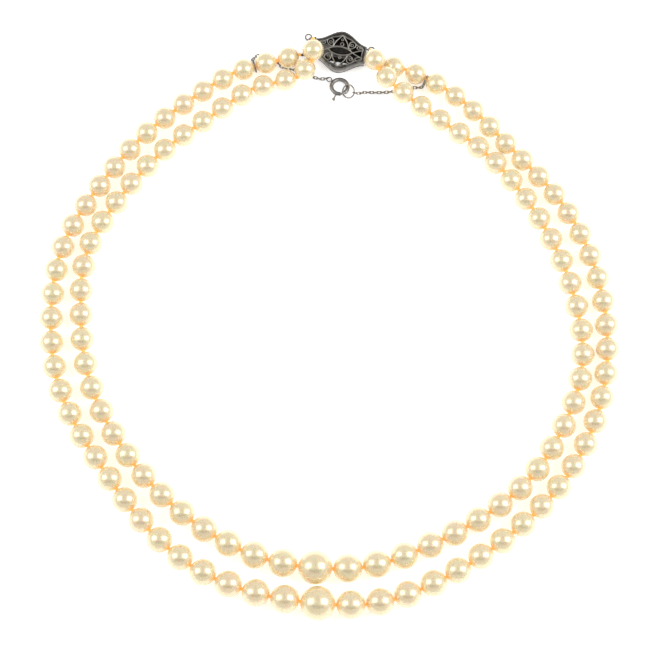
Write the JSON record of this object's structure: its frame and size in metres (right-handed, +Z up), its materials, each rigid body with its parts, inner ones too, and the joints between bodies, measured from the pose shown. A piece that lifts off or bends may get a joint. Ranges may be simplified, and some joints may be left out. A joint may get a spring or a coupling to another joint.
{
  "type": "pearl necklace",
  "caption": "Pearl necklace of graduated strands on knotted silk, closed by an openwork box clasp and a fine safety chain with a bolt ring.",
  "frame": {"origin": "middle of the necklace's bounding box on the table it lies on", "axes": "+Z up off the table, +Y from the centre pearls to the clasp, +X to the box side of the clasp"},
  "size_m": [0.139, 0.146, 0.0085],
  "materials": {
    "pearl": "satin",
    "silk": "matte",
    "end_thread": "matte",
    "silver": "satin"
  },
  "bodies": {
    "front": {"pearls_outer_front": "pearl", "silk_outer_front": "silk", "pearls_inner_front": "pearl", "silk_inner_front": "silk"},
    "outer_centre_pearl": {"centre_pearl_outer": "pearl"},
    "inner_centre_pearl": {"centre_pearl_inner": "pearl"},
    "outer_left_front": {"pearls_outer_left_front": "pearl", "silk_outer_left_front": "silk"},
    "outer_left_side": {"pearls_outer_left_side": "pearl", "silk_outer_left_side": "silk"},
    "outer_left_back": {"pearls_outer_left_back": "pearl", "silk_outer_left_back": "silk", "end_thread_outer_left": "end_thread", "clasp_tongue_end_bar": "silver", "clasp_tongue_loops": "silver", "clasp_tongue_blade": "silver", "safety_ring_left": "silver", "safety_chain_left": "silver", "bolt_ring_tube": "silver", "bolt_ring_eye": "silver", "bolt_ring_spring": "silver", "jump_ring": "silver"},
    "inner_left_front": {"pearls_inner_left_front": "pearl", "silk_inner_left_front": "silk"},
    "inner_left_side": {"pearls_inner_left_side": "pearl", "silk_inner_left_side": "silk"},
    "inner_left_back": {"pearls_inner_left_back": "pearl", "silk_inner_left_back": "silk", "end_thread_inner_left": "end_thread"},
    "outer_right_front": {"pearls_outer_right_front": "pearl", "silk_outer_right_front": "silk"},
    "outer_right_side": {"pearls_outer_right_side": "pearl", "silk_outer_right_side": "silk"},
    "outer_right_back": {"pearls_outer_right_back": "pearl", "silk_outer_right_back": "silk", "end_thread_outer_right": "end_thread", "clasp_back": "silver", "clasp_wall": "silver", "clasp_lid": "silver", "clasp_rim": "silver", "clasp_box_loops": "silver", "safety_chain_right": "silver", "safety_ring_right": "silver"},
    "inner_right_front": {"pearls_inner_right_front": "pearl", "silk_inner_right_front": "silk"},
    "inner_right_side": {"pearls_inner_right_side": "pearl", "silk_inner_right_side": "silk"},
    "inner_right_back": {"pearls_inner_right_back": "pearl", "silk_inner_right_back": "silk", "end_thread_inner_right": "end_thread"},
    "tongue_leaf": {"clasp_tongue_leaf": "silver"},
    "bolt_trigger": {"bolt_ring_trigger": "silver"}
  },
  "joints": [
    {"name": "outer_left_front_flex", "type": "hinge", "parent": "front", "child": "outer_left_front", "pos_m": [-0.03755, -0.05597, 0.00309], "axis": [0, 0, 1], "range_deg": [0, 2.63]},
    {"name": "outer_left_side_flex", "type": "hinge", "parent": "outer_left_front", "child": "outer_left_side", "pos_m": [-0.06666, -0.00298, 0.00287], "axis": [0, 0, 1], "range_deg": [0, 8.02]},
    {"name": "outer_left_back_flex", "type": "hinge", "parent": "outer_left_side", "child": "outer_left_back", "pos_m": [-0.04661, 0.04466, 0.00274], "axis": [0, 0, 1], "range_deg": [-10.51, 0]},
    {"name": "inner_left_front_flex", "type": "hinge", "parent": "front", "child": "inner_left_front", "pos_m": [-0.03711, -0.0453, 0.00309], "axis": [0, 0, 1], "range_deg": [0, 4.93]},
    {"name": "inner_left_side_flex", "type": "hinge", "parent": "inner_left_front", "child": "inner_left_side", "pos_m": [-0.05962, 0.00393, 0.00287], "axis": [0, 0, 1], "range_deg": [0, 4.32]},
    {"name": "inner_left_back_flex", "type": "hinge", "parent": "inner_left_side", "child": "inner_left_back", "pos_m": [-0.03313, 0.0479, 0.00273], "axis": [0, 0, 1], "range_deg": [-9.13, 0]},
    {"name": "outer_right_front_flex", "type": "hinge", "parent": "front", "child": "outer_right_front", "pos_m": [0.03303, -0.05944, 0.00309], "axis": [0, 0, 1], "range_deg": [-7.07, 0]},
    {"name": "outer_right_side_flex", "type": "hinge", "parent": "outer_right_front", "child": "outer_right_side", "pos_m": [0.06657, -0.01062, 0.00287], "axis": [0, 0, 1], "range_deg": [-0.195, 0]},
    {"name": "outer_right_back_flex", "type": "hinge", "parent": "outer_right_side", "child": "outer_right_back", "pos_m": [0.04916, 0.03774, 0.00274], "axis": [0, 0, 1], "range_deg": [0, 7.24]},
    {"name": "inner_right_front_flex", "type": "hinge", "parent": "front", "child": "inner_right_front", "pos_m": [0.03247, -0.05068, 0.00309], "axis": [0, 0, 1], "range_deg": [-8.85, 0]},
    {"name": "inner_right_side_flex", "type": "hinge", "parent": "inner_right_front", "child": "inner_right_side", "pos_m": [0.0608, -0.00597, 0.00287], "axis": [0, 0, 1], "range_deg": [0, 2.38]},
    {"name": "inner_right_back_flex", "type": "hinge", "parent": "inner_right_side", "child": "inner_right_back", "pos_m": [0.03862, 0.04116, 0.00273], "axis": [0, 0, 1], "range_deg": [0, 6.45]},
    {"name": "tongue_leaf_press", "type": "hinge", "parent": "outer_left_back", "child": "tongue_leaf", "pos_m": [0.00533, 0.06759, 0.00096], "axis": [-0.1822, -0.9833, 0], "range_deg": [0, 2.9], "stiffness_Nm_per_rad": 0.01, "deforming": ["clasp_tongue_leaf"]},
    {"name": "bolt_trigger_pull", "type": "hinge", "parent": "outer_left_back", "child": "bolt_trigger", "pos_m": [0.00263, 0.05925, 0.00085], "axis": [-0.0499, -0.1668, -0.9847], "range_deg": [0, 38], "stiffness_Nm_per_rad": 0.0005, "springref_deg": -11.46, "deforming": ["bolt_ring_spring"]},
    {"name": "outer_centre_pearl_spin", "type": "hinge", "parent": "front", "child": "outer_centre_pearl", "pos_m": [-0.00262, -0.06893, 0.0041], "axis": [0.9956, -0.0935, 0], "continuous": true},
    {"name": "inner_centre_pearl_spin", "type": "hinge", "parent": "front", "child": "inner_centre_pearl", "pos_m": [-0.00322, -0.0605, 0.004], "axis": [0.9963, -0.0855, 0], "continuous": true}
  ],
  "couplings": [
    {"joint": "outer_left_side_flex", "follows": "outer_left_front_flex", "ratio": 3.0495},
    {"joint": "outer_left_back_flex", "follows": "outer_left_front_flex", "ratio": -3.995},
    {"joint": "inner_left_front_flex", "follows": "outer_left_front_flex", "ratio": 1.8747},
    {"joint": "inner_left_side_flex", "follows": "outer_left_front_flex", "ratio": 1.6421},
    {"joint": "inner_left_back_flex", "follows": "outer_left_front_flex", "ratio": -3.4695},
    {"joint": "outer_right_side_flex", "follows": "outer_right_front_flex", "ratio": 0.027221},
    {"joint": "outer_right_back_flex", "follows": "outer_right_front_flex", "ratio": -1.0234},
    {"joint": "inner_right_front_flex", "follows": "outer_right_front_flex", "ratio": 1.2514},
    {"joint": "inner_right_side_flex", "follows": "outer_right_front_flex", "ratio": -0.33639},
    {"joint": "inner_right_back_flex", "follows": "outer_right_front_flex", "ratio": -0.91224}
  ]
}
